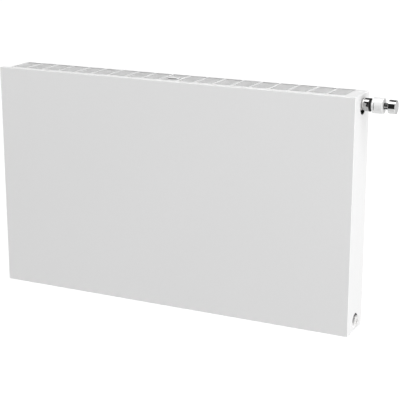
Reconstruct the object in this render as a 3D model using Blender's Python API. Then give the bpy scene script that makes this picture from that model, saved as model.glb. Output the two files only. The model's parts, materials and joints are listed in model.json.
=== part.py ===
"""Double-panel steel radiator with a flat front, a top grille and a thermostatic valve.

Frame: +X runs along the radiator to the valve end, +Y into the wall, +Z up. The origin is the
middle of the rear water panel's back face. All sizes are in metres.
"""

import math

import bmesh
import bpy
from mathutils import Vector

# ---------------------------------------------------------------- driving dimensions
LENGTH = 1.000                      # over the side panels
HEIGHT = 0.600
BODY_DEPTH = 0.100                  # over the channels of both water panels
FRONT_STAND_OFF = 0.006             # flat front plate's face ahead of the front channels
GAP = 0.0003                        # between pieces that touch

# pressed water panels
PANEL_SHEET = 0.0012
PANEL_SEAM = GAP / 2                # half of the gap between the two sheets of a panel
CHANNEL_RISE = 0.00415
CHANNEL_PITCH = LENGTH / 30
CHANNEL_COUNT = 29
CHANNEL_CREST = 0.017
CHANNEL_BASE = 0.025
PANEL_HALF_LENGTH = 0.495
PANEL_HALF_HEIGHT = 0.296
PANEL_RIM = 0.008
HEADER_CREST = 0.022
PRESS_SLOPE = 0.004

# flat front plate, side panels and grille
PLATE_SHEET = 0.001
PLATE_RETURN = 0.0127
PLATE_BEND = 0.001
CASING_BACK = -0.002                # rear edge of the side panels and the grille
SIDE_SHEET = 0.001
SIDE_RETURN = 0.010
SIDE_TOP_FLANGE = 0.026             # valve end only
SIDE_BEND = 0.002                   # outer radius of that flange's bend
SIDE_LEFT_DROP = 0.010              # the other end stops below the grille
VALVE_HOLE_RADIUS = 0.020
VALVE_HOLE_DROP = 0.0055            # hole centre below the valve axis
VALVE_HOLE_BACK = 0.002             # hole centre behind the valve axis
TAPPING_HOLE_RADIUS = 0.019
GRILLE_SHEET = 0.001
GRILLE_FLANGE = 0.0087
GRILLE_FIELDS = 19
GRILLE_ROWS = 6
FIELD_PITCH = 0.050
CROSS_BAR = 0.005
SLOT_PITCH = 0.0136
SLOT_BAR = 0.0042
GRILLE_SHIFT = -0.004               # middle of the grille from the middle of the radiator
GRILLE_REAR_BAND = 0.005
GRILLE_LEFT_BAND = 0.0012
BADGE_LENGTH, BADGE_DEPTH, BADGE_HEIGHT = 0.0265, 0.019, 0.0034
BADGE_FRONT = -0.069

# convectors, strips and clips
FIN_SHEET = 0.0005
FIN_DEPTH = 0.0305
FIN_HALF_HEIGHT = 0.250
FIN_WAVES = 27
STRIP_WIDTH = 0.020
STRIP_HALF_HEIGHT = 0.250
INNER_STATIONS = (-9 * CHANNEL_PITCH, 0.0, 9 * CHANNEL_PITCH)
CLIP_SHEET = 0.0008
CLIP_WIDTH = 0.012
CLIP_LEG = 0.036

# water connections
TAPPING_HALF_SPACING = 0.275
AXIS_Y = -BODY_DEPTH / 2
BOSS_RADIUS = 0.015
BOSS_FACE = 0.495
THREAD_BORE = 0.0105                # G 1/2 female thread
THREAD_BODY = 0.0102
ORING_SEAT_RADIUS = 0.0128
ORING_SEAT_DEPTH = 0.0022
ORING_RADIUS, ORING_WIRE = 0.0116, 0.0009
BRANCH_X = 0.470
PLUG_START = 0.010                  # from the crossing point of its tee
PLUG_RADIUS = 0.014
BLIND_PROUD, VENT_PROUD = 0.005, 0.002                  # of the side panels
PLUG_SOCKET, PLUG_SOCKET_DEPTH = 0.00693, 0.005         # hexagon, 12 mm over the flats
BRANCH_RADIUS, BRANCH_BORE = 0.009, 0.0065
CONNECTION_SPACING = 0.050
TAIL_RADIUS, TAIL_BORE = 0.011, 0.0075
TAIL_END, TAIL_THREAD_END, TAIL_TOP = -0.299, -0.285, -0.262
RISER_START = -0.272                # on a shoulder in the tail
RISER_RADIUS, RISER_WALL = 0.0075, 0.0015
RISER_BEND = 0.024
RISER_END = 0.4517                  # in the valve housing

# hanging lugs
LUG_SHEET = 0.002
LUG_HEIGHT = 0.025
LUG_RISE = 0.008                    # behind the channels
LUG_INNER_HALF = 0.0132
LUG_FOOT_HALF = 0.0202
LUG_X = 11 * CHANNEL_PITCH
LUG_Z = 0.225

# valve insert and thermostatic head, stations along X
SEAT_X = 0.466
VALVE_LIFT = 0.0019                 # disc off its seat at the middle setting
DISC_RADIUS, DISC_THICKNESS = 0.008, 0.003
HUB_RADIUS, HUB_THICKNESS = 0.005, 0.0015
SPINDLE_RADIUS, SPINDLE_BORE = 0.0017, 0.0020
SPINDLE_END = 0.5125
SPRING_PLATE_START, SPRING_PLATE_END = 0.499, 0.5005    # fixed on the spindle
SPRING_PLATE_RADIUS = 0.0045
SPRING_RADIUS, SPRING_WIRE = 0.0040, 0.00045
VALVE_SPRING = (0.4888, 0.4968, 4)  # start, end, turns; as short as with the valve closed
INSERT_START, INSERT_FACE = 0.481, 0.509
INSERT_COLLAR = 0.017               # behind the side panel, around the valve hole's upper edge
INSERT_COLLAR_END = 0.4987
INSERT_FLATS = 0.0137               # half the width over the collar's two flats
INSERT_NECK = 0.0135
INSERT_NECK_END = 0.503
INSERT_THREAD = 0.0143              # M30 x 1.5
SPRING_ROOM_START, SPRING_ROOM_RADIUS = 0.488, 0.0063
RING_ROOM_START, RING_ROOM_RADIUS = 0.505, 0.0093
GLAND_START, GLAND_END, GLAND_RADIUS = 0.5037, 0.5100, 0.0060
PRESET_START, PRESET_END = 0.5053, 0.5095
PRESET_INNER, PRESET_OUTER = 0.0064, 0.0090
NOTCH_WIDTH, NOTCH_ROOT, NOTCH_START = 0.0016, 0.0070, 0.5085
NUT_START, NUT_END = 0.5060, 0.5182
NUT_RADIUS, NUT_BORE = 0.016, 0.0146
NUT_LIP, NUT_LIP_BORE = 0.001, 0.0112
NUT_CHAMFER = 0.0005
RING_END = 0.5205
SOCKET_RADIUS, SOCKET_BORE = 0.0140, 0.0097
SOCKET_WAIST = 0.0108
SOCKET_FLANGE, SOCKET_FLANGE_RADIUS = 0.003, 0.0159     # in the barrel's mouth
BARREL_START, BARREL_END = 0.5255, 0.553
BARREL_RADIUS, BARREL_BORE = 0.019, 0.0162
BARREL_WALL = 0.0025                # the closed end
BARREL_SLOT_START, BARREL_SLOT_END = 0.5312, 0.5325     # milled across its front
BARREL_SLOT_DEPTH = 0.0024
NECK_RADIUS, NECK_BORE = 0.0075, 0.0056
NECK_FOOT, NECK_FOOT_RADIUS = 0.0022, 0.010
SENSOR_START, SENSOR_END, SENSOR_RADIUS = 0.522, 0.5365, 0.0085
STEM_END, STEM_RADIUS = 0.550, 0.0026
ROD_START, ROD_PLATE_START, ROD_PLATE_END = 0.5128, 0.5135, 0.5147
ROD_RADIUS, ROD_PLATE_RADIUS = 0.0022, 0.0052
OVERTRAVEL_SPRING = (0.5156, 0.5212, 3)
SLEEVE_START, SLEEVE_ROOM_END = 0.539, 0.553            # the handwheel's inner sleeve
SLEEVE_BORE, SLEEVE_RADIUS = 0.0030, 0.0052
CAP_START, CAP_END = 0.5653, 0.583
CAP_RADIUS, CAP_RIM = 0.016, 0.0014
CAP_FLOOR = 0.002
END_DISC_THICKNESS = 0.0038
ROUND = 32                          # sides of a round piece that shows
BOSS_SIDES, SMALL_SIDES = 24, 16    # sides of round pieces inside

# worked out from the above
FRONT_FACE = -BODY_DEPTH - FRONT_STAND_OFF
PANEL_HALF_DEPTH = PANEL_SEAM + CHANNEL_RISE + PANEL_SHEET
FRONT_SEAM = -BODY_DEPTH + PANEL_HALF_DEPTH
REAR_SEAM = -PANEL_HALF_DEPTH
INNER_FRONT = FRONT_SEAM + PANEL_HALF_DEPTH     # inner crests, facing the convectors
INNER_REAR = REAR_SEAM - PANEL_HALF_DEPTH
CASING_FRONT = FRONT_FACE + PLATE_RETURN + GAP
HALF_LENGTH, HALF_HEIGHT = LENGTH / 2, HEIGHT / 2
TOP_AXIS_Z, BOTTOM_AXIS_Z = TAPPING_HALF_SPACING, -TAPPING_HALF_SPACING
RISER_X = BRANCH_X - CONNECTION_SPACING

WHITE = ((0.90, 0.90, 0.89), 0.35, 0.0)
PRIMER = ((0.30, 0.30, 0.30), 0.55, 0.0)
GREY_METAL = ((0.55, 0.55, 0.54), 0.38, 0.9)
BRASS = ((0.72, 0.53, 0.27), 0.35, 1.0)
CHROME = ((0.80, 0.80, 0.81), 0.08, 1.0)
BLACK_PLASTIC = ((0.02, 0.02, 0.02), 0.45, 0.0)
WHITE_PLASTIC = ((0.88, 0.88, 0.87), 0.40, 0.0)
GREY_PLASTIC = ((0.30, 0.30, 0.31), 0.50, 0.0)
PALE_PLASTIC = ((0.72, 0.72, 0.72), 0.40, 0.0)
RUBBER = ((0.03, 0.03, 0.03), 0.80, 0.0)
FOAM = ((0.16, 0.16, 0.17), 0.90, 0.0)
SPRING_STEEL = ((0.50, 0.50, 0.52), 0.30, 1.0)


# ---------------------------------------------------------------- shape helpers
def clear_scene():
    for ob in list(bpy.data.objects):
        bpy.data.objects.remove(ob, do_unlink=True)


def closed(bm):
    bmesh.ops.recalc_face_normals(bm, faces=bm.faces[:])
    return bm


def box(x, y, z):
    """A block between the pairs of limits x, y and z."""
    bm = bmesh.new()
    bmesh.ops.create_cube(bm, size=1)
    for v in bm.verts:
        v.co = [low + (c + 0.5) * (high - low) for c, (low, high) in zip(v.co, (x, y, z))]
    return bm


def extruded(outline, axis, low, high):
    """An outline of points in the other two axes, given a thickness along axis."""
    bm = bmesh.new()
    order = {"X": (2, 0, 1), "Y": (0, 2, 1), "Z": (0, 1, 2)}[axis]
    base = []
    for a, b in outline:
        p = (a, b, low)
        base.append(bm.verts.new([p[i] for i in order]))
    face = bm.faces.new(base)
    top = bmesh.ops.extrude_face_region(bm, geom=[face])
    moved = [g for g in top["geom"] if isinstance(g, bmesh.types.BMVert)]
    shift = Vector([(0, 0, high - low)[i] for i in order])
    bmesh.ops.translate(bm, verts=moved, vec=shift)
    return closed(bm)


def turned(outline, y, z, axis="X", x=0.0, segments=ROUND):
    """A body of revolution from (station, radius) points. Zero radius lies on the axis."""
    bm = bmesh.new()
    along, side, up, phase = {      # the phases keep crossing bores off each other's corners
        "X": (Vector((1, 0, 0)), Vector((0, 1, 0)), Vector((0, 0, 1)), 0.5),
        "Y": (Vector((0, 1, 0)), Vector((0, 0, 1)), Vector((1, 0, 0)), 0.3),
        "Z": (Vector((0, 0, 1)), Vector((1, 0, 0)), Vector((0, 1, 0)), 0.2),
    }[axis]
    centre = Vector((x, y, z))
    rings = []
    for station, radius in outline:
        middle = centre + along * station
        if radius == 0:
            rings.append([bm.verts.new(middle)])
            continue
        angles = [2 * math.pi * (k + phase) / segments for k in range(segments)]
        rings.append([bm.verts.new(middle + side * radius * math.cos(a) + up * radius * math.sin(a))
                      for a in angles])
    for first, second in zip(rings, rings[1:] + rings[:1]):
        if len(first) == 1 and len(second) == 1:
            continue
        for k in range(segments):
            n = (k + 1) % segments
            corners = [first[k % len(first)], first[n % len(first)],
                       second[n % len(second)], second[k % len(second)]]
            bm.faces.new(list(dict.fromkeys(corners)))
    return closed(bm)


def rod(low, high, radius, y, z, axis="X", x=0.0, segments=ROUND):
    return turned([(low, 0), (low, radius), (high, radius), (high, 0)], y, z, axis, x, segments)


def combined(base, tool, operation):
    """Union or difference of two closed meshes."""
    work = []
    for bm in (base, tool):
        mesh = bpy.data.meshes.new("work")
        bm.to_mesh(mesh)
        bm.free()
        work.append(bpy.data.objects.new("work", mesh))
        bpy.context.scene.collection.objects.link(work[-1])
    modifier = work[0].modifiers.new("Boolean", "BOOLEAN")
    modifier.operation, modifier.solver, modifier.object = operation, "EXACT", work[1]
    bpy.context.view_layer.update()
    shape = work[0].evaluated_get(bpy.context.evaluated_depsgraph_get())
    result = bmesh.new()
    result.from_mesh(shape.to_mesh())
    shape.to_mesh_clear()
    bmesh.ops.remove_doubles(result, verts=result.verts[:], dist=0.000005)
    for ob in work:
        bpy.data.meshes.remove(ob.data)
    return result


def joined(base, *tools):
    for tool in tools:
        base = combined(base, tool, "UNION")
    return base


def cut(base, *tools):
    for tool in tools:
        base = combined(base, tool, "DIFFERENCE")
    return base


def swept_tube(points, radius, wall, sides):
    """A hollow pipe along points in a plane of constant y."""
    bm = bmesh.new()
    shells = []
    for r in (radius, radius - wall):
        rings = []
        for i, p in enumerate(points):
            way = (points[min(i + 1, len(points) - 1)] - points[max(i - 1, 0)]).normalized()
            normal = Vector((way.z, 0, -way.x))
            rings.append([bm.verts.new(p + normal * r * math.cos(a) + Vector((0, r * math.sin(a), 0)))
                          for a in (2 * math.pi * k / sides for k in range(sides))])
        shells.append(rings)
    for rings in shells:
        for a, b in zip(rings, rings[1:]):
            for k in range(sides):
                n = (k + 1) % sides
                bm.faces.new((a[k], a[n], b[n], b[k]))
    for end in (0, -1):
        outer, inner = shells[0][end], shells[1][end]
        for k in range(sides):
            n = (k + 1) % sides
            bm.faces.new((outer[k], outer[n], inner[n], inner[k]))
    return closed(bm)


def coil(start, end, radius, wire, turns, steps_per_turn=10, sides=5):
    """A helical spring about the valve axis, with its wire closed at both ends."""
    bm = bmesh.new()
    rings = []
    steps = int(turns * steps_per_turn)
    for i in range(steps + 1):
        turn = 2 * math.pi * i / steps_per_turn
        outward = Vector((0, math.cos(turn), math.sin(turn)))
        centre = Vector((start + (end - start) * i / steps, AXIS_Y, TOP_AXIS_Z)) + outward * radius
        ring = []
        for k in range(sides):
            a = 2 * math.pi * k / sides
            ring.append(bm.verts.new(centre + outward * wire * math.cos(a)
                                     + Vector((wire * math.sin(a), 0, 0))))
        rings.append(ring)
    for a, b in zip(rings, rings[1:]):
        for k in range(sides):
            n = (k + 1) % sides
            bm.faces.new((a[k], a[n], b[n], b[k]))
    bm.faces.new(rings[0])
    bm.faces.new(rings[-1])
    return closed(bm)


def add_piece(name, bm, finish, round_piece=False, parent=None):
    """Turns a mesh into the named object, with its own material."""
    mesh = bpy.data.meshes.new(name)
    if parent:
        bmesh.ops.translate(bm, verts=bm.verts[:], vec=-parent.location)
    bm.to_mesh(mesh)
    bm.free()
    ob = bpy.data.objects.new(name, mesh)
    bpy.context.scene.collection.objects.link(ob)
    ob.parent = parent
    if round_piece:
        mesh.shade_smooth()
        mesh.set_sharp_from_angle(angle=math.radians(35))
    material = bpy.data.materials.new(name + "_finish")
    material.use_nodes = True
    shader = material.node_tree.nodes["Principled BSDF"]
    colour, roughness, metallic = finish
    shader.inputs["Base Color"].default_value = (*colour, 1)
    shader.inputs["Roughness"].default_value = roughness
    shader.inputs["Metallic"].default_value = metallic
    mesh.materials.append(material)
    return ob


def add_pivot(name, x, y, z):
    """An empty on a joint's axis, which carries the pieces that move on that joint."""
    pivot = bpy.data.objects.new(name, None)
    pivot.location = (x, y, z)
    pivot.empty_display_size = 0.01
    bpy.context.scene.collection.objects.link(pivot)
    bpy.context.view_layer.update()
    return pivot


# ---------------------------------------------------------------- water panels and convectors
def pressed_sheet(seam, way):
    """One sheet of a water panel: it stands off its seam except in the lands between channels."""
    base_x, base_z = PANEL_HALF_LENGTH - PANEL_RIM, PANEL_HALF_HEIGHT - PANEL_RIM
    crest_x, crest_z = base_x - PRESS_SLOPE, base_z - PRESS_SLOPE
    land_z = crest_z - HEADER_CREST
    bm = bmesh.new()

    def skin(lift):
        """One surface of the sheet, lift away from the seam. Returns the corners of its rim."""
        low, high = seam + way * (PANEL_SEAM + lift), seam + way * (PANEL_SEAM + lift + CHANNEL_RISE)

        def frame(left, right, z, y):
            corners = ((left, y, -z), (right, y, -z), (right, y, z), (left, y, z))
            return [bm.verts.new(p) for p in corners]

        def skirt(outer, inner):
            for k in range(4):
                bm.faces.new((outer[k], outer[(k + 1) % 4], inner[(k + 1) % 4], inner[k]))

        rim = frame(-PANEL_HALF_LENGTH, PANEL_HALF_LENGTH, PANEL_HALF_HEIGHT, low)
        foot = frame(-base_x, base_x, base_z, low)
        crest = frame(-crest_x, crest_x, crest_z, high)
        skirt(rim, foot)
        skirt(foot, crest)
        edges = []
        for k in range(CHANNEL_COUNT - 1):
            middle = (k + 1 - CHANNEL_COUNT / 2) * CHANNEL_PITCH
            half = (CHANNEL_PITCH - CHANNEL_CREST) / 2
            floor_half = (CHANNEL_PITCH - CHANNEL_BASE) / 2
            edge = frame(middle - half, middle + half, land_z, high)
            floor = frame(middle - floor_half, middle + floor_half, land_z - PRESS_SLOPE, low)
            skirt(edge, floor)
            bm.faces.new(floor)
            edges.append(edge)
        for edge, following in zip(edges, edges[1:]):
            bm.faces.new((edge[1], following[0], following[3], edge[2]))
        bm.faces.new((crest[0], edges[0][0], edges[0][3], crest[3]))
        bm.faces.new((crest[1], crest[2], edges[-1][2], edges[-1][1]))
        bm.faces.new([crest[0], crest[1]] + [e[k] for e in reversed(edges) for k in (1, 0)])
        bm.faces.new([crest[3]] + [e[k] for e in edges for k in (3, 2)] + [crest[2]])
        return rim

    near, far = skin(0), skin(PANEL_SHEET)
    for k in range(4):
        n = (k + 1) % 4
        bm.faces.new((near[k], near[n], far[n], far[k]))
    return closed(bm)


def water_holes(low, high):
    """Cutters for the four openings through which an inner sheet meets the corner tees."""
    return [rod(low, high, BRANCH_BORE, 0, z, "Y", x, SMALL_SIDES)
            for x in (-BRANCH_X, BRANCH_X) for z in (BOTTOM_AXIS_Z, TOP_AXIS_Z)]


def convector(low, high):
    """A square-wave sheet of upright fins between y = low and y = high."""
    half_wave = CHANNEL_PITCH / 2
    crest, step = half_wave - 0.004, 0.004
    start = -FIN_WAVES / 2 * CHANNEL_PITCH
    line = []
    for k in range(FIN_WAVES):
        x = start + k * CHANNEL_PITCH
        line += [(x, low), (x + crest, low), (x + crest + step, high - FIN_SHEET),
                 (x + 2 * crest + step, high - FIN_SHEET)]
    line.append((start + FIN_WAVES * CHANNEL_PITCH, low))
    back = [(x, y + FIN_SHEET) for x, y in reversed(line)]
    return extruded(line + back, "Z", -FIN_HALF_HEIGHT, FIN_HALF_HEIGHT)


def make_water_panels():
    front_outer = pressed_sheet(FRONT_SEAM, -1)
    front_inner = cut(pressed_sheet(FRONT_SEAM, 1), *water_holes(FRONT_SEAM, AXIS_Y))
    rear_inner = cut(pressed_sheet(REAR_SEAM, -1), *water_holes(AXIS_Y, REAR_SEAM))
    rear_outer = pressed_sheet(REAR_SEAM, 1)
    add_piece("front_panel_outer_sheet", front_outer, WHITE)
    add_piece("front_panel_inner_sheet", front_inner, PRIMER)
    add_piece("rear_panel_inner_sheet", rear_inner, PRIMER)
    add_piece("rear_panel_outer_sheet", rear_outer, WHITE)
    add_piece("front_convector", convector(INNER_FRONT + GAP, INNER_FRONT + GAP + FIN_DEPTH), PRIMER)
    add_piece("rear_convector", convector(INNER_REAR - GAP - FIN_DEPTH, INNER_REAR - GAP), PRIMER)


# ---------------------------------------------------------------- casing
def make_front_plate():
    """A shallow tray: flat face, four folded edges with a small bend."""
    bend = [(PLATE_BEND * (1 - math.cos(a)), PLATE_BEND * (1 - math.sin(a)))
            for a in (math.pi / 2 * k / 3 for k in range(4))]
    outer = [(0.0, PLATE_RETURN)] + bend
    inner = [(PLATE_SHEET, PLATE_RETURN), (PLATE_SHEET, PLATE_SHEET)]
    bm = bmesh.new()

    def loop(inset, depth):
        x, z = HALF_LENGTH - inset, HALF_HEIGHT - inset
        return [bm.verts.new((a * x, FRONT_FACE + depth, b * z))
                for a, b in ((-1, -1), (1, -1), (1, 1), (-1, 1))]

    def bridge(first, second):
        for k in range(4):
            n = (k + 1) % 4
            bm.faces.new((first[k], first[n], second[n], second[k]))

    outer_loops = [loop(*p) for p in outer]
    inner_loops = [loop(*p) for p in inner]
    for loops in (outer_loops, inner_loops):
        for first, second in zip(loops, loops[1:]):
            bridge(first, second)
        bm.faces.new(loops[-1])
    bridge(outer_loops[0], inner_loops[0])
    add_piece("front_plate", closed(bm), WHITE)
    for side, x in zip(("left", "middle", "right"), INNER_STATIONS):
        strip = box((x - STRIP_WIDTH / 2, x + STRIP_WIDTH / 2),
                    (FRONT_FACE + PLATE_SHEET + GAP, -BODY_DEPTH - GAP),
                    (-STRIP_HALF_HEIGHT, STRIP_HALF_HEIGHT))
        add_piece(f"front_plate_strip_{side}", strip, FOAM)


def side_channel(sign, top):
    """The folded side sheet: a face across the end and a return behind each water panel's rim."""
    outer, inner = sign * HALF_LENGTH, sign * (HALF_LENGTH - SIDE_SHEET)
    tip = sign * (HALF_LENGTH - SIDE_RETURN)
    outline = [(tip, CASING_FRONT), (outer, CASING_FRONT), (outer, CASING_BACK), (tip, CASING_BACK),
               (tip, CASING_BACK - SIDE_SHEET), (inner, CASING_BACK - SIDE_SHEET),
               (inner, CASING_FRONT + SIDE_SHEET), (tip, CASING_FRONT + SIDE_SHEET)]
    return extruded(outline, "Z", -HALF_HEIGHT, top)


def bend_tool():
    """The corner outside the bend where the right side panel turns into its flange."""
    centre_x, centre_z = HALF_LENGTH - SIDE_BEND, HALF_HEIGHT - SIDE_BEND
    steps = 4
    arc = []
    for k in range(steps + 1):
        a = math.pi / 2 * k / steps
        arc.append((centre_x + SIDE_BEND * math.cos(a), centre_z + SIDE_BEND * math.sin(a)))
    proud = 0.001
    outline = arc + [(centre_x, HALF_HEIGHT + proud), (HALF_LENGTH + proud, HALF_HEIGHT + proud),
                     (HALF_LENGTH + proud, centre_z)]
    return extruded(outline, "Y", CASING_FRONT - proud, CASING_BACK + proud)


def make_side_panels():
    left = cut(side_channel(-1, HALF_HEIGHT - SIDE_LEFT_DROP), *[
        rod(-HALF_LENGTH - 0.005, -HALF_LENGTH + 0.005, TAPPING_HOLE_RADIUS, AXIS_Y, z)
        for z in (BOTTOM_AXIS_Z, TOP_AXIS_Z)])
    add_piece("side_panel_left", left, WHITE)
    top_flange = box((HALF_LENGTH - SIDE_TOP_FLANGE, HALF_LENGTH - SIDE_SHEET / 2),
                     (CASING_FRONT + SIDE_SHEET / 2, CASING_BACK - SIDE_SHEET / 2),
                     (HALF_HEIGHT - SIDE_SHEET, HALF_HEIGHT))
    span = (HALF_LENGTH - 0.005, HALF_LENGTH + 0.005)
    right = cut(joined(side_channel(1, HALF_HEIGHT), top_flange), bend_tool(),
                rod(*span, VALVE_HOLE_RADIUS, AXIS_Y + VALVE_HOLE_BACK,
                    TOP_AXIS_Z - VALVE_HOLE_DROP),
                rod(*span, TAPPING_HOLE_RADIUS, AXIS_Y, BOTTOM_AXIS_Z))
    add_piece("side_panel_right", right, WHITE)


def make_grille():
    """A slotted sheet, turned down at its front, its back and behind each slot but the last row."""
    field_start = GRILLE_SHIFT - (GRILLE_FIELDS * FIELD_PITCH - CROSS_BAR) / 2
    left = field_start - GRILLE_LEFT_BAND
    right = HALF_LENGTH - SIDE_TOP_FLANGE - GAP
    xs = [left]
    for k in range(GRILLE_FIELDS):
        start = field_start + k * FIELD_PITCH
        xs += [start, start + FIELD_PITCH - CROSS_BAR]
    xs.append(right)
    slots_back = CASING_BACK - GRILLE_REAR_BAND
    slots_front = slots_back - GRILLE_ROWS * SLOT_PITCH + SLOT_BAR
    ys = [CASING_FRONT, CASING_FRONT + GRILLE_SHEET]
    slot_rows, folded_rows = [], []
    for k in range(GRILLE_ROWS):
        start = slots_front + k * SLOT_PITCH
        fold = start + SLOT_PITCH - SLOT_BAR
        slot_rows.append(len(ys))
        if k < GRILLE_ROWS - 1:         # no room for a fold over the rear water panel
            folded_rows.append(len(ys) + 1)
        ys += [start, fold, fold + GRILLE_SHEET]
    ys += [CASING_BACK - GRILLE_SHEET, CASING_BACK]
    bm = bmesh.new()
    floor = HALF_HEIGHT - GRILLE_SHEET
    grid = {(i, j): bm.verts.new((x, y, floor)) for i, x in enumerate(xs) for j, y in enumerate(ys)}
    flanges = []
    for i in range(len(xs) - 1):
        for j in range(len(ys) - 1):
            beside_slot = i % 2 == 1
            if beside_slot and j in slot_rows:
                continue
            face = bm.faces.new((grid[i, j], grid[i + 1, j], grid[i + 1, j + 1], grid[i, j + 1]))
            if j in (0, len(ys) - 2) or beside_slot and j in folded_rows:
                flanges.append(face)
    raised = bmesh.ops.extrude_face_region(bm, geom=bm.faces[:], use_keep_orig=True)
    bmesh.ops.translate(bm, vec=(0, 0, GRILLE_SHEET),
                        verts=[g for g in raised["geom"] if isinstance(g, bmesh.types.BMVert)])
    lowered = bmesh.ops.extrude_face_region(bm, geom=flanges)
    bmesh.ops.translate(bm, vec=(0, 0, -GRILLE_FLANGE),
                        verts=[g for g in lowered["geom"] if isinstance(g, bmesh.types.BMVert)])
    bmesh.ops.delete(bm, geom=[f for f in flanges if f.is_valid], context="FACES_ONLY")
    loose = [v for v in bm.verts if not v.link_faces]
    bmesh.ops.delete(bm, geom=loose, context="VERTS")
    closed(bm)
    bmesh.ops.dissolve_limit(bm, angle_limit=math.radians(0.5), verts=bm.verts[:], edges=bm.edges[:])
    add_piece("top_grille", bm, WHITE)

    middle, rest = 0.0, HALF_HEIGHT + GAP
    back = BADGE_FRONT + BADGE_DEPTH
    outline = [(BADGE_FRONT, rest), (back, rest), (back, rest + BADGE_HEIGHT * 0.75),
               (back - 0.004, rest + BADGE_HEIGHT), (BADGE_FRONT + 0.0006, rest + BADGE_HEIGHT),
               (BADGE_FRONT, rest + BADGE_HEIGHT - 0.0006)]
    badge = extruded(outline, "X", middle - BADGE_LENGTH / 2, middle + BADGE_LENGTH / 2)
    add_piece("grille_badge", badge, WHITE_PLASTIC)
    label = box((middle - BADGE_LENGTH / 2 + 0.001, middle + BADGE_LENGTH / 2 - 0.001),
                (BADGE_FRONT - GAP - 0.0006, BADGE_FRONT - GAP),
                (rest + 0.0001, rest + BADGE_HEIGHT - 0.0007))
    add_piece("badge_label", label, GREY_PLASTIC)

    top, foot = floor - GRILLE_FLANGE - GAP, floor - CLIP_LEG
    low, high = INNER_FRONT + GAP, INNER_REAR - GAP
    outline = [(low, foot), (low, top), (high, top), (high, foot), (high - CLIP_SHEET, foot),
               (high - CLIP_SHEET, top - CLIP_SHEET), (low + CLIP_SHEET, top - CLIP_SHEET),
               (low + CLIP_SHEET, foot)]
    for side, x in zip(("left", "middle", "right"), INNER_STATIONS):
        clip = extruded(outline, "X", x - CLIP_WIDTH / 2, x + CLIP_WIDTH / 2)
        add_piece(f"grille_clip_{side}", clip, SPRING_STEEL)


# ---------------------------------------------------------------- water connections
# The tees and the valve housing are cut around their own crossing point, then moved to a corner.
BRANCH_HALF = (INNER_REAR - INNER_FRONT) / 2 - GAP
FACE = BOSS_FACE - BRANCH_X
ORING_SEAT = FACE - ORING_SEAT_DEPTH


def cross_branch():
    return rod(-BRANCH_HALF, BRANCH_HALF, BRANCH_RADIUS, 0, 0, "Y", segments=SMALL_SIDES)


def cross_bore():
    length = BRANCH_HALF + 0.002
    return rod(-length, length, BRANCH_BORE, 0, 0, "Y", segments=SMALL_SIDES)


def threaded_bore(stations):
    """Cutter along X: the given inner stations, then the G 1/2 bore and the O-ring's seat."""
    start = stations[-1][0]
    return turned([(stations[0][0], 0), *stations, (start, THREAD_BORE), (ORING_SEAT, THREAD_BORE),
                   (ORING_SEAT, ORING_SEAT_RADIUS), (FACE + 0.002, ORING_SEAT_RADIUS),
                   (FACE + 0.002, 0)], 0, 0, segments=BOSS_SIDES)


def to_corner(bm, z, end=1):
    """Moves a piece from the crossing point to a corner: end is 1 at the valve end, else -1."""
    if end < 0:
        for v in bm.verts:
            v.co.x = -v.co.x
        bmesh.ops.reverse_faces(bm, faces=bm.faces[:])
    bmesh.ops.translate(bm, verts=bm.verts[:], vec=(end * BRANCH_X, AXIS_Y, z))
    return bm


def corner_tee(z, end, tail=False):
    """A boss with a threaded bore along X, joined to both water panels by a cross branch."""
    body = joined(rod(-0.014, FACE, BOSS_RADIUS, 0, 0, segments=BOSS_SIDES), cross_branch())
    bores = [threaded_bore([(-0.010, 0.008), (0.008, 0.008)]), cross_bore()]
    if tail:
        low = TAIL_END - z
        body = joined(body, rod(low, -0.005, TAIL_RADIUS, 0, 0, "Z", segments=BOSS_SIDES))
        bores.append(rod(low - 0.002, -0.004, TAIL_BORE, 0, 0, "Z", segments=SMALL_SIDES))
    return to_corner(cut(body, *bores), z, end)


def valve_housing():
    """Takes the riser at its inner end, the valve insert at its outer end."""
    socket, seat = RISER_RADIUS + GAP, SEAT_X - BRANCH_X
    start, riser_stop = RISER_END - 0.0085 - BRANCH_X, RISER_END - BRANCH_X + GAP
    body = joined(rod(start, FACE, BOSS_RADIUS, 0, 0, segments=BOSS_SIDES), cross_branch())
    core = threaded_bore([(start - 0.002, socket), (riser_stop, socket), (riser_stop, 0.006),
                          (seat, 0.006), (seat, 0.009), (seat + 0.014, 0.009)])
    return to_corner(cut(body, core, cross_bore()), TOP_AXIS_Z)


def oring(sign, z):
    """A ring of round rubber in the seat around a plug or the valve insert."""
    middle = BOSS_FACE - 0.001
    outline = [(sign * middle + ORING_WIRE * math.cos(a), ORING_RADIUS + ORING_WIRE * math.sin(a))
               for a in (2 * math.pi * k / 6 for k in range(6))]
    return turned(outline, AXIS_Y, z, segments=SMALL_SIDES)


def plug_body(proud):
    """Where a plug starts and ends, and its outline: thread in the tee, round flange outside it."""
    start, flange, face = PLUG_START, FACE + GAP, HALF_LENGTH + proud - BRANCH_X
    return start, face, [(start, 0), (start, THREAD_BODY), (flange, THREAD_BODY),
                         (flange, PLUG_RADIUS), (face - 0.001, PLUG_RADIUS),
                         (face, PLUG_RADIUS - 0.001), (face, 0)]


def blind_plug(end):
    start, face, outline = plug_body(BLIND_PROUD)
    socket = rod(face - PLUG_SOCKET_DEPTH, face + 0.001, PLUG_SOCKET, 0, 0, segments=6)
    return to_corner(cut(turned(outline, 0, 0, segments=BOSS_SIDES), socket), BOTTOM_AXIS_Z, end)


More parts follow.
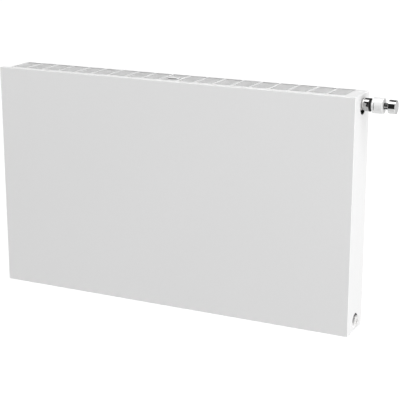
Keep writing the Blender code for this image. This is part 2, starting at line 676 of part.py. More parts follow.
def make_connections():
    add_piece("tee_top_left", corner_tee(TOP_AXIS_Z, -1), WHITE, True)
    add_piece("tee_bottom_left", corner_tee(BOTTOM_AXIS_Z, -1), WHITE, True)
    add_piece("tee_bottom_right", corner_tee(BOTTOM_AXIS_Z, 1, tail=True), WHITE, True)
    add_piece("valve_housing", valve_housing(), WHITE, True)

    socket, narrow = RISER_RADIUS + GAP, TAIL_BORE - RISER_WALL
    tail = turned([(TAIL_END, TAIL_BORE), (TAIL_END, TAIL_RADIUS), (TAIL_TOP, TAIL_RADIUS),
                   (TAIL_TOP, socket), (RISER_START, socket), (RISER_START, narrow),
                   (TAIL_THREAD_END, narrow), (TAIL_THREAD_END, TAIL_BORE)],
                  AXIS_Y, 0, "Z", RISER_X, BOSS_SIDES)
    add_piece("flow_connection", tail, WHITE, True)
    bend_centre = Vector((RISER_X + RISER_BEND, AXIS_Y, TOP_AXIS_Z - RISER_BEND))
    route = [Vector((RISER_X, AXIS_Y, RISER_START + GAP))]
    route += [bend_centre + RISER_BEND * Vector((-math.cos(a), 0, math.sin(a)))
              for a in (math.pi / 2 * k / 6 for k in range(7))]
    route.append(Vector((RISER_END, AXIS_Y, TOP_AXIS_Z)))
    add_piece("riser_pipe", swept_tube(route, RISER_RADIUS, RISER_WALL, SMALL_SIDES), WHITE, True)

    add_piece("blind_plug_right", blind_plug(1), GREY_METAL, True)
    add_piece("blind_plug_left", blind_plug(-1), GREY_METAL, True)
    add_piece("blind_plug_right_oring", oring(1, BOTTOM_AXIS_Z), RUBBER, True)
    add_piece("blind_plug_left_oring", oring(-1, BOTTOM_AXIS_Z), RUBBER, True)


def make_vent():
    """Vent plug top left: a nozzle that turns to any side, and a screw that opens it."""
    start, face, outline = plug_body(VENT_PROUD)
    sleeve_end, collar = face - 0.006, face + GAP
    bore = turned([(start - 0.001, 0), (start - 0.001, 0.0025), (sleeve_end, 0.0025),
                   (sleeve_end, 0.0042), (face + 0.001, 0.0042), (face + 0.001, 0)], 0, 0,
                  segments=SMALL_SIDES)
    plug = cut(turned(outline, 0, 0, segments=BOSS_SIDES), bore)
    add_piece("vent_plug", to_corner(plug, TOP_AXIS_Z, -1), GREY_METAL, True)
    add_piece("vent_plug_oring", oring(-1, TOP_AXIS_Z), RUBBER, True)

    ring = turned([(sleeve_end + GAP, 0.0026), (sleeve_end + GAP, 0.0039), (collar, 0.0039),
                   (collar, 0.0065), (collar + 0.004, 0.0065), (collar + 0.004, 0.0026)], 0, 0,
                  segments=20)
    spout = rod(-0.0105, -0.0035, 0.0017, 0, 0, "Z", collar + 0.002, 12)
    hole = rod(-0.0115, -0.001, 0.0008, 0, 0, "Z", collar + 0.002, 8)
    pivot_x = -BRANCH_X - collar
    add_piece("vent_nozzle", to_corner(cut(joined(ring, spout), hole), TOP_AXIS_Z, -1),
              WHITE_PLASTIC, True, add_pivot("vent_nozzle_pivot", pivot_x, AXIS_Y, TOP_AXIS_Z))

    shoulder = collar + 0.0043
    shaft = turned([(start + 0.001, 0), (start + 0.003, 0.0022), (shoulder, 0.0022), (shoulder, 0)],
                   0, 0, segments=SMALL_SIDES)
    head = box((shoulder - GAP, collar + 0.008), (-0.0025, 0.0025), (-0.0025, 0.0025))
    add_piece("vent_screw", to_corner(joined(shaft, head), TOP_AXIS_Z, -1), BRASS, True,
              add_pivot("vent_screw_pivot", pivot_x, AXIS_Y, TOP_AXIS_Z))


def make_lugs():
    """Bent straps across a rear channel, which the wall brackets hook behind."""
    land = REAR_SEAM + PANEL_SEAM + PANEL_SHEET + GAP
    for upright, z in (("upper", LUG_Z), ("lower", -LUG_Z)):
        for side, x in (("left", -LUG_X), ("right", LUG_X)):
            inner, outer, foot = LUG_INNER_HALF, LUG_INNER_HALF + LUG_SHEET, LUG_FOOT_HALF
            half = [(inner, land), (foot, land), (foot, land + LUG_SHEET), (outer, land + LUG_SHEET),
                    (outer, LUG_RISE)]
            outline = [(x + a, b) for a, b in half] + [(x - a, b) for a, b in reversed(half)]
            outline += [(x - inner, LUG_RISE - LUG_SHEET), (x + inner, LUG_RISE - LUG_SHEET)]
            lug = extruded(outline, "Z", z - LUG_HEIGHT / 2, z + LUG_HEIGHT / 2)
            add_piece(f"hanging_lug_{upright}_{side}", lug, WHITE)


# ---------------------------------------------------------------- valve insert
def on_valve_axis(outline, segments=ROUND):
    return turned(outline, AXIS_Y, TOP_AXIS_Z, segments=segments)


def make_valve_insert(spindle_pivot):
    collar_start = BOSS_FACE + GAP
    body = on_valve_axis([
        (INSERT_START, SPINDLE_BORE), (INSERT_START, THREAD_BODY), (collar_start, THREAD_BODY),
        (collar_start, INSERT_COLLAR), (INSERT_COLLAR_END, INSERT_COLLAR),
        (INSERT_COLLAR_END, INSERT_NECK), (INSERT_NECK_END, INSERT_NECK),
        (INSERT_NECK_END, INSERT_THREAD), (INSERT_FACE, INSERT_THREAD),
        (INSERT_FACE, RING_ROOM_RADIUS), (RING_ROOM_START, RING_ROOM_RADIUS),
        (RING_ROOM_START, SPRING_ROOM_RADIUS), (SPRING_ROOM_START, SPRING_ROOM_RADIUS),
        (SPRING_ROOM_START, SPINDLE_BORE)], 28)
    flats = [box((collar_start - 0.001, INSERT_COLLAR_END + 0.001),
                 (AXIS_Y - INSERT_COLLAR, AXIS_Y + INSERT_COLLAR),
                 (TOP_AXIS_Z + min(side * INSERT_FLATS, side * 0.02),
                  TOP_AXIS_Z + max(side * INSERT_FLATS, side * 0.02))) for side in (-1, 1)]
    add_piece("valve_insert_body", cut(body, *flats), GREY_METAL, True)
    add_piece("valve_insert_oring", oring(1, TOP_AXIS_Z), RUBBER, True)
    add_piece("valve_gland", on_valve_axis([
        (GLAND_START, SPINDLE_BORE), (GLAND_START, GLAND_RADIUS), (GLAND_END, GLAND_RADIUS),
        (GLAND_END, SPINDLE_BORE)], SMALL_SIDES), BRASS, True)

    ring_pivot = add_pivot("presetting_pivot", PRESET_START, AXIS_Y, TOP_AXIS_Z)
    ring = on_valve_axis([(PRESET_START, PRESET_INNER), (PRESET_START, PRESET_OUTER),
                          (PRESET_END, PRESET_OUTER), (PRESET_END, PRESET_INNER)], BOSS_SIDES)
    notch = box((NOTCH_START, PRESET_END + 0.0005),
                (AXIS_Y - NOTCH_WIDTH / 2, AXIS_Y + NOTCH_WIDTH / 2),
                (TOP_AXIS_Z + NOTCH_ROOT, TOP_AXIS_Z + PRESET_OUTER + 0.001))
    add_piece("presetting_ring", cut(ring, notch), PALE_PLASTIC, True, ring_pivot)

    disc = SEAT_X + VALVE_LIFT
    add_piece("valve_disc", on_valve_axis([
        (disc, 0), (disc, DISC_RADIUS), (disc + DISC_THICKNESS, DISC_RADIUS),
        (disc + DISC_THICKNESS, 0)], BOSS_SIDES), RUBBER, True, spindle_pivot)
    hub = disc + DISC_THICKNESS + GAP
    add_piece("valve_spindle", on_valve_axis([
        (hub, 0), (hub, HUB_RADIUS), (hub + HUB_THICKNESS, HUB_RADIUS),
        (hub + HUB_THICKNESS, SPINDLE_RADIUS), (SPRING_PLATE_START, SPINDLE_RADIUS),
        (SPRING_PLATE_START, SPRING_PLATE_RADIUS), (SPRING_PLATE_END, SPRING_PLATE_RADIUS),
        (SPRING_PLATE_END, SPINDLE_RADIUS), (SPINDLE_END, SPINDLE_RADIUS), (SPINDLE_END, 0)],
        SMALL_SIDES), SPRING_STEEL, True, spindle_pivot)
    start, end, turns = VALVE_SPRING
    add_piece("valve_spring", coil(start, end, SPRING_RADIUS, SPRING_WIRE, turns), SPRING_STEEL, True)


# ---------------------------------------------------------------- thermostatic head
def make_barrel():
    """The head's shell: open towards the nut, closed by a wall around the neck."""
    wall = BARREL_END - BARREL_WALL
    barrel = on_valve_axis([
        (BARREL_START, BARREL_BORE), (BARREL_START, BARREL_RADIUS - 0.0015),
        (BARREL_START + 0.0015, BARREL_RADIUS), (BARREL_END - 0.001, BARREL_RADIUS),
        (BARREL_END, BARREL_RADIUS - 0.001), (BARREL_END, NECK_RADIUS + GAP),
        (wall, NECK_RADIUS + GAP), (wall, BARREL_BORE)])
    front = AXIS_Y - BARREL_RADIUS
    slot = box((BARREL_SLOT_START, BARREL_SLOT_END), (front - 0.001, front + BARREL_SLOT_DEPTH),
               (TOP_AXIS_Z - BARREL_RADIUS, TOP_AXIS_Z + BARREL_RADIUS))
    add_piece("head_barrel", cut(barrel, slot), WHITE_PLASTIC, True)
    foot = wall - GAP - NECK_FOOT
    add_piece("sensor_neck", on_valve_axis([
        (foot, NECK_BORE), (foot, NECK_FOOT_RADIUS), (wall - GAP, NECK_FOOT_RADIUS),
        (wall - GAP, NECK_RADIUS), (CAP_START - GAP, NECK_RADIUS), (CAP_START - GAP, NECK_BORE)],
        BOSS_SIDES), BLACK_PLASTIC, True)


def make_sensor(sensor_pivot):
    """The wax element and what passes its push on to the spindle."""
    add_piece("sensor_element", on_valve_axis([
        (SENSOR_START, 0), (SENSOR_START, SENSOR_RADIUS), (SENSOR_END, SENSOR_RADIUS),
        (SENSOR_END, STEM_RADIUS), (STEM_END, STEM_RADIUS), (STEM_END, 0)], SMALL_SIDES),
        PALE_PLASTIC, True, sensor_pivot)
    rod_end = SENSOR_START - GAP
    add_piece("push_rod", on_valve_axis([
        (ROD_START, 0), (ROD_START, ROD_RADIUS), (ROD_PLATE_START, ROD_RADIUS),
        (ROD_PLATE_START, ROD_PLATE_RADIUS), (ROD_PLATE_END, ROD_PLATE_RADIUS),
        (ROD_PLATE_END, ROD_RADIUS), (rod_end, ROD_RADIUS), (rod_end, 0)], SMALL_SIDES),
        BRASS, True, sensor_pivot)
    start, end, turns = OVERTRAVEL_SPRING
    add_piece("overtravel_spring", coil(start, end, SPRING_RADIUS, SPRING_WIRE, turns),
              SPRING_STEEL, True, sensor_pivot)


def make_handwheel():
    """The cap that the hand turns, on a sleeve through the neck, and the disc that closes it."""
    pivot = add_pivot("handwheel_pivot", CAP_START, AXIS_Y, TOP_AXIS_Z)
    recess, hollow = CAP_START + CAP_FLOOR, CAP_RADIUS - CAP_RIM
    add_piece("handwheel", on_valve_axis([
        (SLEEVE_START, SLEEVE_BORE), (SLEEVE_START, SLEEVE_RADIUS), (CAP_START, SLEEVE_RADIUS),
        (CAP_START, CAP_RADIUS - 0.001), (CAP_START + 0.001, CAP_RADIUS),
        (CAP_END - 0.0007, CAP_RADIUS), (CAP_END, CAP_RADIUS - 0.0007), (CAP_END, hollow),
        (recess, hollow), (recess, 0), (SLEEVE_ROOM_END, 0), (SLEEVE_ROOM_END, SLEEVE_BORE)]),
        CHROME, True, pivot)
    face, disc = CAP_END - 0.0002, hollow - GAP
    back = face - END_DISC_THICKNESS
    add_piece("end_cap", on_valve_axis([
        (back, 0), (back, disc), (face - 0.0004, disc), (face, disc - 0.0006), (face, 0)]),
        PALE_PLASTIC, True, pivot)


def make_head(sensor_pivot):
    lip = NUT_END - NUT_LIP
    add_piece("union_nut", on_valve_axis([
        (NUT_START, NUT_BORE), (NUT_START, NUT_RADIUS - NUT_CHAMFER),
        (NUT_START + NUT_CHAMFER, NUT_RADIUS), (NUT_END - NUT_CHAMFER, NUT_RADIUS),
        (NUT_END, NUT_RADIUS - NUT_CHAMFER), (NUT_END, NUT_LIP_BORE), (lip, NUT_LIP_BORE),
        (lip, NUT_BORE)]), CHROME, True)
    add_piece("scale_ring", on_valve_axis([
        (NUT_END + GAP, NUT_LIP_BORE), (NUT_END + GAP, NUT_RADIUS), (RING_END, NUT_RADIUS),
        (RING_END, NUT_LIP_BORE)]), BLACK_PLASTIC, True)
    foot, mouth = INSERT_FACE + 0.0004, BARREL_START + GAP
    add_piece("head_socket", on_valve_axis([
        (foot, SOCKET_BORE), (foot, SOCKET_RADIUS), (lip - GAP, SOCKET_RADIUS),
        (lip - GAP, SOCKET_WAIST), (mouth, SOCKET_WAIST), (mouth, SOCKET_FLANGE_RADIUS),
        (BARREL_START + SOCKET_FLANGE, SOCKET_FLANGE_RADIUS),
        (BARREL_START + SOCKET_FLANGE, SOCKET_BORE)], BOSS_SIDES), BLACK_PLASTIC, True)
    make_barrel()
    make_sensor(sensor_pivot)
    make_handwheel()


def main():
    clear_scene()
    make_front_plate()
    make_water_panels()
    make_side_panels()
    make_grille()
    make_connections()
    make_vent()
    make_lugs()
    make_valve_insert(add_pivot("spindle_pivot", SEAT_X, AXIS_Y, TOP_AXIS_Z))
    make_head(add_pivot("sensor_pivot", SENSOR_START, AXIS_Y, TOP_AXIS_Z))


main()
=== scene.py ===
"""Looks of a flat-fronted panel radiator with a built-in thermostatic valve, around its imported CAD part.
+X runs along the radiator to the valve, +Y points into the wall, +Z up. Lengths are in metres."""

import json
import math

import bmesh
import bpy
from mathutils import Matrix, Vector


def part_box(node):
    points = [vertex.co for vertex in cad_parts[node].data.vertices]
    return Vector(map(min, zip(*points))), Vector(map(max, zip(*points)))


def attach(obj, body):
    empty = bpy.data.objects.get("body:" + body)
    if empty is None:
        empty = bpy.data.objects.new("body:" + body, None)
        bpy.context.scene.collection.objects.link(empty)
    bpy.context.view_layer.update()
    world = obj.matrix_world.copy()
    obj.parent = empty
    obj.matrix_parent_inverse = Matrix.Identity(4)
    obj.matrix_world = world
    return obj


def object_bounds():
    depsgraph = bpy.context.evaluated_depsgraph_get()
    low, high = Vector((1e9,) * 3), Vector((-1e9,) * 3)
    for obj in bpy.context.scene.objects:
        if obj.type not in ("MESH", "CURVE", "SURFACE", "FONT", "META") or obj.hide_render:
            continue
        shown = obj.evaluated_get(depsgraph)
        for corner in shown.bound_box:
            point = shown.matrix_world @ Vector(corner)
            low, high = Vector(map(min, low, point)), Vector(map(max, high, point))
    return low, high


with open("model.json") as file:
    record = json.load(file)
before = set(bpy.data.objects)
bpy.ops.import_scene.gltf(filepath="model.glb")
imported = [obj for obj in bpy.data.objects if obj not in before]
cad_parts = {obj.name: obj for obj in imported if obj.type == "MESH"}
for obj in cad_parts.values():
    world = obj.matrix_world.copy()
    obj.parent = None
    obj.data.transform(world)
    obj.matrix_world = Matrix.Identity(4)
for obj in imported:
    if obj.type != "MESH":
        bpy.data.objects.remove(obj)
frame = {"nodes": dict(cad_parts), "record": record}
NODES = frame["nodes"]
CAD_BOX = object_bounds()

# ---------------------------------------------------------------- camera

CAMERA_PLACE = Vector((1.38551, -2.75889, 0.83487))
CAMERA_LOOKS = Vector((-0.42066, 0.86562, -0.27156))
CAMERA_LENS = 108.54


def make_camera():
    data = bpy.data.cameras.new("camera")
    data.sensor_width = 36.0
    data.lens = CAMERA_LENS
    camera = bpy.data.objects.new("camera", data)
    camera.location = CAMERA_PLACE
    camera.rotation_mode = "QUATERNION"
    camera.rotation_quaternion = CAMERA_LOOKS.to_track_quat("-Z", "Y")
    bpy.context.scene.collection.objects.link(camera)
    bpy.context.scene.camera = camera


make_camera()

# ---------------------------------------------------------------- materials


class Recipe:
    """One material, built node by node. Patterns are in the piece's own coordinates, in metres."""

    def __init__(self, name, **shader):
        self.material = bpy.data.materials.new(name)
        self.material.use_nodes = True
        self.tree = self.material.node_tree
        self.tree.nodes.clear()
        self.output = self.tree.nodes.new("ShaderNodeOutputMaterial")
        self.shader = self.tree.nodes.new("ShaderNodeBsdfPrincipled")
        self.link(self.shader.outputs[0], self.output.inputs["Surface"])
        for socket, value in shader.items():
            self.shader.inputs[socket.replace("_", " ")].default_value = value
        self.place = self.tree.nodes.new("ShaderNodeTexCoord").outputs["Object"]
        self.normal = None

    def link(self, a, b):
        self.tree.links.new(a, b)

    def node(self, kind, settings=None, **inputs):
        made = self.tree.nodes.new(kind)
        for key, value in (settings or {}).items():
            setattr(made, key, value)
        for key, value in inputs.items():
            socket = made.inputs[key.replace("_", " ")]
            if isinstance(value, bpy.types.NodeSocket):
                self.link(value, socket)
            else:
                socket.default_value = value
        return made

    def stretched(self, scale):
        return self.node("ShaderNodeMapping", Vector=self.place, Scale=scale).outputs[0]

    def noise(self, per_metre, detail=3.0, stretch=None):
        where = self.place if stretch is None else self.stretched(stretch)
        return self.node("ShaderNodeTexNoise", Vector=where, Scale=per_metre, Detail=detail).outputs[0]

    def cells(self, per_metre, feature="F1"):
        made = self.node("ShaderNodeTexVoronoi", {"feature": feature}, Vector=self.place, Scale=per_metre)
        return made.outputs["Distance"]

    def spread(self, value, low, high, from_low=0.3, from_high=0.7):
        made = self.node("ShaderNodeMapRange", Value=value, From_Min=from_low, From_Max=from_high,
                         To_Min=low, To_Max=high)
        return made.outputs[0]

    def mixed(self, share, first, second):
        made = self.node("ShaderNodeMix", {"data_type": "RGBA"})
        self.link(share, made.inputs[0])
        for socket, value in ((made.inputs[6], first), (made.inputs[7], second)):
            if isinstance(value, bpy.types.NodeSocket):
                self.link(value, socket)
            else:
                socket.default_value = (*value, 1.0)
        return made.outputs[2]

    def colour(self, value):
        self.link(value, self.shader.inputs["Base Color"])

    def roughness(self, value):
        self.link(value, self.shader.inputs["Roughness"])

    def relief(self, height, depth, strength=1.0):
        made = self.node("ShaderNodeBump", Height=height, Distance=depth, Strength=strength)
        if self.normal is not None:
            self.link(self.normal, made.inputs["Normal"])
        self.normal = made.outputs[0]
        self.link(self.normal, self.shader.inputs["Normal"])


# painted light: a brighter white laid on the shaded closed end of the head's barrel
PAINTED_LIGHT_WHITE = 0.94
PAINTED_LIGHT_FADE = 0.0004                    # the length over which one white turns into the other


def grey(level, tint=0.0):
    """A nearly neutral colour; a positive tint is warmer."""
    return (level * (1 + tint), level, level * (1 - tint))


def enamel():
    r = Recipe("white_enamel", IOR=1.5)
    broad, fine = r.noise(3.0, 4.0), r.noise(260.0, 2.0)
    base = r.mixed(r.spread(broad, 0.0, 1.0), grey(0.862), grey(0.874))
    r.colour(r.mixed(r.spread(fine, 0.0, 0.35), base, grey(0.845)))
    r.roughness(r.spread(r.noise(90.0, 3.0), 0.36, 0.44))
    r.relief(r.noise(620.0, 2.0), 0.00003, 0.35)
    r.relief(r.noise(140.0, 1.0), 0.00008, 0.25)
    return r.material


def primer_and_painted_shade():
    """The thin primer on the sheets inside: dull and blotchy, in greys darker than primer as painted shade
    for the dark inside of the radiator.
    """
    r = Recipe("grey_primer", IOR=1.45)
    blotch, dust = r.noise(14.0, 4.0), r.noise(420.0, 2.0)
    # these greys sit well below a primer's: painted shade for the inside of the radiator, partly the real
    # primer coat
    base = r.mixed(r.spread(blotch, 0.0, 1.0), grey(0.13, 0.01), grey(0.19, 0.01))
    r.colour(r.mixed(r.spread(dust, 0.0, 0.4), base, grey(0.24)))
    r.roughness(r.spread(dust, 0.5, 0.7))
    r.relief(r.noise(500.0, 2.0), 0.00004, 0.4)
    return r.material


def white_plastic(name="white_plastic", level=0.785, painted_light_from=None):
    """Glossy white; where a place along X is given, past it a brighter white that is painted light on a face
    in shade.
    """
    r = Recipe(name, IOR=1.5)
    mottle = r.spread(r.noise(60.0), 0.0, 1.0)
    base = r.mixed(mottle, grey(level - 0.01), grey(level + 0.01))
    if painted_light_from is not None:
        # past the given place the white is raised: painted light, not a second moulding
        x = r.node("ShaderNodeSeparateXYZ", Vector=r.place).outputs["X"]
        bright = r.mixed(mottle, grey(PAINTED_LIGHT_WHITE - 0.01), grey(PAINTED_LIGHT_WHITE + 0.01))
        past = r.spread(x, 0.0, 1.0, painted_light_from - PAINTED_LIGHT_FADE, painted_light_from)
        base = r.mixed(past, base, bright)
    r.colour(base)
    r.roughness(r.spread(r.noise(900.0, 2.0), 0.16, 0.24))
    r.relief(r.noise(2600.0, 2.0), 0.00001, 0.3)
    return r.material


def pale_plastic(name="pale_plastic", level=0.71):
    r = Recipe(name, IOR=1.48)
    r.colour(r.mixed(r.spread(r.noise(80.0), 0.0, 1.0), grey(level - 0.02), grey(level + 0.02)))
    r.roughness(r.spread(r.noise(1200.0, 2.0), 0.34, 0.46))
    r.relief(r.noise(3200.0, 2.0), 0.00001, 0.4)
    return r.material


def black_plastic():
    r = Recipe("black_plastic", IOR=1.5)
    r.colour(r.mixed(r.spread(r.noise(70.0), 0.0, 1.0), grey(0.012), grey(0.02)))
    r.roughness(r.spread(r.noise(800.0, 2.0), 0.3, 0.42))
    r.relief(r.noise(3500.0, 2.0), 0.00001, 0.6)
    return r.material


def rubber():
    r = Recipe("rubber", IOR=1.5)
    r.colour(r.mixed(r.spread(r.noise(150.0), 0.0, 1.0), grey(0.016), grey(0.028)))
    r.roughness(r.spread(r.noise(500.0, 2.0), 0.55, 0.7))
    r.relief(r.noise(2200.0, 2.0), 0.00002, 0.5)
    return r.material


def foam():
    r = Recipe("foam_strip", IOR=1.4)
    pores = r.cells(900.0)
    r.colour(r.mixed(r.spread(pores, 0.0, 1.0, 0.1, 0.6), grey(0.07), grey(0.16)))
    r.roughness(r.spread(pores, 0.8, 0.95, 0.1, 0.6))
    r.relief(pores, 0.0004, 0.8)
    return r.material


def label():
    r = Recipe("grey_label", IOR=1.45)
    streak = r.noise(400.0, 2.0, (0.06, 1.0, 1.0))
    r.colour(r.mixed(r.spread(streak, 0.0, 1.0), grey(0.27), grey(0.34)))
    r.roughness(r.spread(streak, 0.34, 0.5))
    r.relief(streak, 0.00002, 0.4)
    return r.material


def metal(name, dark, light, rough, tint=0.0, turned=True, mottle=120.0, lathe=0.00002):
    """Bare or plated metal. Turned pieces carry fine rings round the valve's axis, which is along X."""
    r = Recipe(name, Metallic=1.0)
    stain = r.noise(mottle, 4.0)
    r.colour(r.mixed(r.spread(stain, 0.0, 1.0), grey(dark, tint), grey(light, tint)))
    r.roughness(r.spread(r.noise(mottle * 3, 3.0), rough * 0.8, rough * 1.25))
    if turned:
        r.relief(r.noise(2400.0, 1.0, (1.0, 0.02, 0.02)), lathe, 0.5)
    else:
        r.relief(r.noise(1800.0, 2.0), lathe, 0.3)
    return r.material


MATERIALS = {
    "white_enamel": enamel(),
    "grey_primer": primer_and_painted_shade(),
    "white_plastic": white_plastic(),
    "pale_plastic": pale_plastic(),
    "black_plastic": black_plastic(),
    "rubber": rubber(),
    "foam_strip": foam(),
    "grey_label": label(),
    "chrome": metal("chrome", 0.66, 0.71, 0.06, lathe=0.000002),
    "nickel_plated": metal("nickel_plated", 0.62, 0.72, 0.36, 0.01),
    "spring_steel": metal("spring_steel", 0.42, 0.55, 0.28, turned=False),
    "brass": metal("brass", 0.55, 0.7, 0.22, 0.28),
}

# pieces that are lighter, darker or duller than the rest of their slot
PLUG_NICKEL = metal("plug_nickel", 0.93, 0.98, 0.66, 0.005)
OWN_MATERIALS = {"grille_badge": white_plastic("badge_plastic", 0.95),
                 # the head's barrel: its closed end past its far X is whitened, painted light on a face in
                 # the cap's shade
                 "head_barrel": white_plastic("barrel_plastic_painted_light", painted_light_from=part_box("head_barrel")[1][0]),
                 "end_cap": pale_plastic("end_plastic", 0.53),
                 "union_nut": metal("nut_chrome", 0.36, 0.42, 0.08, lathe=0.000004),
                 "blind_plug_left": PLUG_NICKEL, "blind_plug_right": PLUG_NICKEL,
                 "vent_plug": PLUG_NICKEL}


def paint_frame():
    slots = {row["node"]: row["material_slot"] for row in frame["record"]["subparts"]}
    for name, node in NODES.items():
        node.data.materials.clear()
        node.data.materials.append(OWN_MATERIALS.get(name) or MATERIALS[slots[name]])


paint_frame()

# ---------------------------------------------------------------- softened edges

WELD = 4e-6
FLAT = math.radians(1)
SHARP = math.radians(35)


def smoothing_group():
    """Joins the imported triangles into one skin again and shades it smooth."""
    group = bpy.data.node_groups.new("one_skin", "GeometryNodeTree")
    group.interface.new_socket("Geometry", in_out="INPUT", socket_type="NodeSocketGeometry")
    group.interface.new_socket("Geometry", in_out="OUTPUT", socket_type="NodeSocketGeometry")
    start, end = group.nodes.new("NodeGroupInput"), group.nodes.new("NodeGroupOutput")
    merge = group.nodes.new("GeometryNodeMergeByDistance")
    merge.inputs["Distance"].default_value = WELD
    forget = group.nodes.new("GeometryNodeRemoveAttribute")
    forget.inputs["Name"].default_value = "custom_normal"
    smooth = group.nodes.new("GeometryNodeSetShadeSmooth")
    chain = [start, merge, forget, smooth, end]
    for a, b in zip(chain, chain[1:]):
        group.links.new(a.outputs[0], b.inputs[0])
    return group


def soften(obj, group, width):
    obj.modifiers.new("one_skin", "NODES").node_group = group
    flat = obj.modifiers.new("flat_faces", "DECIMATE")
    flat.decimate_type, flat.angle_limit = "DISSOLVE", FLAT
    bevel = obj.modifiers.new("edges", "BEVEL")
    bevel.width, bevel.segments, bevel.limit_method, bevel.angle_limit = width, 2, "ANGLE", SHARP
    obj.modifiers.new("normals", "WEIGHTED_NORMAL").keep_sharp = False


EDGE_WIDTHS = {"front_plate": 0.0004, "side_panel_right": 0.0003, "side_panel_left": 0.0003,
               "top_grille": 0.0002, "head_barrel": 0.0006, "handwheel": 0.0004, "union_nut": 0.0004}
USUAL_EDGE = 0.0002


def soften_frame():
    group = smoothing_group()
    for name, node in NODES.items():
        soften(node, group, EDGE_WIDTHS.get(name, USUAL_EDGE))


soften_frame()

# ---------------------------------------------------------------- small added pieces


def middle(box, axis):
    return (box[0][axis] + box[1][axis]) / 2


def add_piece(name, bm, slot, body="radiator"):
    """A new mesh piece that takes its finish from one of the record's material slots."""
    bmesh.ops.recalc_face_normals(bm, faces=bm.faces[:])
    mesh = bpy.data.meshes.new(name)
    bm.to_mesh(mesh)
    bm.free()
    mesh.materials.append(MATERIALS[slot])
    obj = bpy.data.objects.new(name, mesh)
    bpy.context.scene.collection.objects.link(obj)
    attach(obj, body)
    return obj


def add_loops(bm, loops):
    """Joins closed loops of equal length into a tube and closes both ends."""
    rings = [[bm.verts.new(point) for point in loop] for loop in loops]
    for a, b in zip(rings, rings[1:]):
        for i in range(len(a)):
            j = (i + 1) % len(a)
            bm.faces.new((a[i], a[j], b[j], b[i]))
    bm.faces.new(rings[0])
    bm.faces.new(rings[-1])


# painted shade: a black sheet laid in the barrel's slot stands for the groove's dark line
BARREL_GROOVE_SHADE = (0.53125, 0.53245)        # along X, inside the barrel's slot
BARREL_GROOVE_SHADE_DEPTH = 0.0023
BARREL_GROOVE_SHADE_SUNK = 0.0002
BARREL_GROOVE_SHADE_STEPS = 16                  # of its arc


def make_barrel_groove_shade():
    """A black sheet in the slot across the head's barrel, painted shade for the slot's dark line; its outer
    side follows the barrel.
    """
    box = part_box("head_barrel")
    y, z, radius = middle(box, 1), middle(box, 2), (box[1][2] - box[0][2]) / 2
    outer = radius - BARREL_GROOVE_SHADE_SUNK
    reach = math.acos((radius - BARREL_GROOVE_SHADE_DEPTH) / outer)
    arc = [(y - outer * math.cos(a), z + outer * math.sin(a))
           for a in (reach * (2 * k / BARREL_GROOVE_SHADE_STEPS - 1) for k in range(BARREL_GROOVE_SHADE_STEPS + 1))]
    bm = bmesh.new()
    add_loops(bm, [[(x, a, b) for a, b in arc] for x in BARREL_GROOVE_SHADE])
    add_piece("head_barrel_groove_shade", bm, "black_plastic")


NECK_RADIUS = 0.0075
NECK_STRIP = (0.0010, 0.0008)           # clear of the barrel and of the neck's end, along X
NECK_STRIP_WIDTH = 0.0013
NECK_STRIP_PROUD = 0.00018
NECK_STRIP_TURN = math.radians(-6)      # from straight ahead, downwards
NECK_STRIP_STEPS = 6                    # of its arc


def make_neck_strip():
    """A pale strip along the black neck between the barrel and the handwheel."""
    neck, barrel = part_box("sensor_neck"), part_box("head_barrel")
    y, z = middle(barrel, 1), middle(barrel, 2)
    start, end = barrel[1][0] + NECK_STRIP[0], neck[1][0] - NECK_STRIP[1]
    half = NECK_STRIP_WIDTH / 2 / NECK_RADIUS
    turns = [NECK_STRIP_TURN + half * (2 * k / NECK_STRIP_STEPS - 1) for k in range(NECK_STRIP_STEPS + 1)]
    outline = [(NECK_RADIUS + NECK_STRIP_PROUD, t) for t in turns]
    outline += [(NECK_RADIUS - NECK_STRIP_PROUD, t) for t in reversed(turns)]
    bm = bmesh.new()
    add_loops(bm, [[(x, y - r * math.cos(t), z + r * math.sin(t)) for r, t in outline]
                   for x in (start, end)])
    add_piece("neck_pale_strip", bm, "pale_plastic")


CHANNEL_PITCH = 1 / 30
LANDS = 28                              # between the rear sheet's channels
LAND_DEPTH = 0.00415                    # from the channels' crests to the lands
WELD_ROWS = 9
WELD_ROW_STEP = 0.05
WELD_SPOT_RADIUS = 0.0024
WELD_SPOT_RISE = 0.00025
WELD_SPOT_SUNK = 0.00005
WELD_SPOT_SIDES = 14
# from the rim of a spot to its middle: shares of the radius and of the rise
WELD_SPOT_PROFILE = ((1.0, 0.0), (0.8, 1.0), (0.55, 0.55))
LUG_CLEARANCE = (0.006, 0.018)          # along X and Z


def weld_spot(bm, x, y, z):
    """A shallow round dimple with a raised rim, as a spot weld leaves it."""
    turns = [2 * math.pi * k / WELD_SPOT_SIDES for k in range(WELD_SPOT_SIDES)]
    add_loops(bm, [[(x + share * WELD_SPOT_RADIUS * math.cos(t), y + rise * WELD_SPOT_RISE,
                     z + share * WELD_SPOT_RADIUS * math.sin(t)) for t in turns]
                   for share, rise in WELD_SPOT_PROFILE])


def make_weld_spots():
    """The rows of spot welds between the channels of the sheet that faces the wall."""
    lugs = [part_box(name) for name in NODES if name.startswith("hanging_lug")]
    aside, above = LUG_CLEARANCE
    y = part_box("rear_panel_outer_sheet")[1][1] - LAND_DEPTH - WELD_SPOT_SUNK
    bm = bmesh.new()
    for i in range(LANDS):
        x = (i - (LANDS - 1) / 2) * CHANNEL_PITCH
        for j in range(WELD_ROWS):
            z = (j - (WELD_ROWS - 1) / 2) * WELD_ROW_STEP
            under_lug = any(low[0] - aside < x < high[0] + aside and low[2] - above < z < high[2] + above
                            for low, high in lugs)
            if not under_lug:
                weld_spot(bm, x, y, z)
    spots = add_piece("rear_weld_spots", bm, "white_enamel")
    for polygon in spots.data.polygons:
        polygon.use_smooth = True


make_barrel_groove_shade()
make_neck_strip()
make_weld_spots()

# ---------------------------------------------------------------- studio

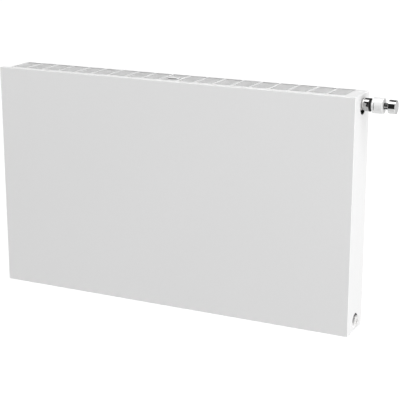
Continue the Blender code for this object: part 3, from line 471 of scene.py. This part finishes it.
FLOOR_SIZE = 30.0
FLOOR_GAP = 0.001
FLOOR_GLOW = 0.93
FLOOR_GREY = (0.12, 0.12, 0.12)
# The studio's walls, as brightness by direction. Each fades in along some axes, from the first share
# to the second.
STUDIO_WALLS = (
    (0.03, ()),
    (1.23, (("X", 0.1, 0.9),)),
    (7.0, (("Z", 0.8, 0.97), ("Y", 0.25, 0.05), ("X", 0.2, -0.05), ("X", -0.7, -0.5))),
    (1.1, (("Z", -0.38, -0.5),)),
)
# name, place, where it points, width and height, power; the walls alone show in reflections
SOFT_BOXES = (
    ("front_top", (2.2, -7.5, 7.0), (0.1, 0.0, 0.0), (5.0, 5.0), 460.0),
    ("right_high", (1.9, -0.6, 2.6), (0.5, -0.05, 0.1), (1.2, 1.2), 20.0),
    ("right_low", (2.0, -0.2, -0.3), (0.5, -0.05, -0.2), (1.0, 0.4), 2.3),
    ("back", (-1.6, 2.6, 0.7), (0.0, 0.0, 0.0), (1.6, 1.6), 20.0),
)


def make_floor():
    """The floor and the pale room that closes off the view behind it; the camera alone sees them."""
    bm = bmesh.new()
    bmesh.ops.create_cube(bm, size=FLOOR_SIZE)
    mesh = bpy.data.meshes.new("floor")
    bm.to_mesh(mesh)
    bm.free()
    floor = bpy.data.objects.new("floor", mesh)
    floor.location = (0.0, 0.0, CAD_BOX[0].z - FLOOR_GAP + FLOOR_SIZE / 2)
    bpy.context.scene.collection.objects.link(floor)
    paint = Recipe("floor", Base_Color=(*FLOOR_GREY, 1.0), Roughness=0.9,
                   Emission_Color=(1.0, 1.0, 1.0, 1.0), Emission_Strength=FLOOR_GLOW)
    mesh.materials.append(paint.material)
    floor.visible_diffuse = floor.visible_glossy = floor.visible_shadow = False


def make_walls():
    world = bpy.data.worlds.new("studio")
    bpy.context.scene.world = world
    world.use_nodes = True
    tree = world.node_tree
    tree.nodes.clear()
    out = tree.nodes.new("ShaderNodeOutputWorld")
    back = tree.nodes.new("ShaderNodeBackground")
    tree.links.new(back.outputs[0], out.inputs["Surface"])
    split = tree.nodes.new("ShaderNodeSeparateXYZ")
    tree.links.new(tree.nodes.new("ShaderNodeTexCoord").outputs["Generated"], split.inputs[0])

    def math_node(operation, first, second):
        made = tree.nodes.new("ShaderNodeMath")
        made.operation = operation
        for socket, value in zip(made.inputs, (first, second)):
            if isinstance(value, bpy.types.NodeSocket):
                tree.links.new(value, socket)
            else:
                socket.default_value = value
        return made.outputs[0]

    total = 0.0
    for brightness, fades in STUDIO_WALLS:
        wall = brightness
        for axis, begins, full in fades:
            fade = tree.nodes.new("ShaderNodeMapRange")
            fade.interpolation_type = "SMOOTHSTEP"
            tree.links.new(split.outputs[axis], fade.inputs["Value"])
            fade.inputs["From Min"].default_value = begins
            fade.inputs["From Max"].default_value = full
            wall = math_node("MULTIPLY", fade.outputs[0], wall)
        total = math_node("ADD", wall, total)
    tree.links.new(total, back.inputs["Strength"])


def make_soft_boxes():
    for name, place, target, (width, height), power in SOFT_BOXES:
        data = bpy.data.lights.new(name, "AREA")
        data.shape, data.size, data.size_y, data.energy = "RECTANGLE", width, height, power
        lamp = bpy.data.objects.new(name, data)
        lamp.location = place
        lamp.rotation_euler = (Vector(target) - Vector(place)).to_track_quat("-Z", "Y").to_euler()
        lamp.visible_glossy = False
        bpy.context.scene.collection.objects.link(lamp)


make_floor()
make_walls()
make_soft_boxes()

view = bpy.context.scene.view_settings
view.view_transform, view.look = "Standard", "None"
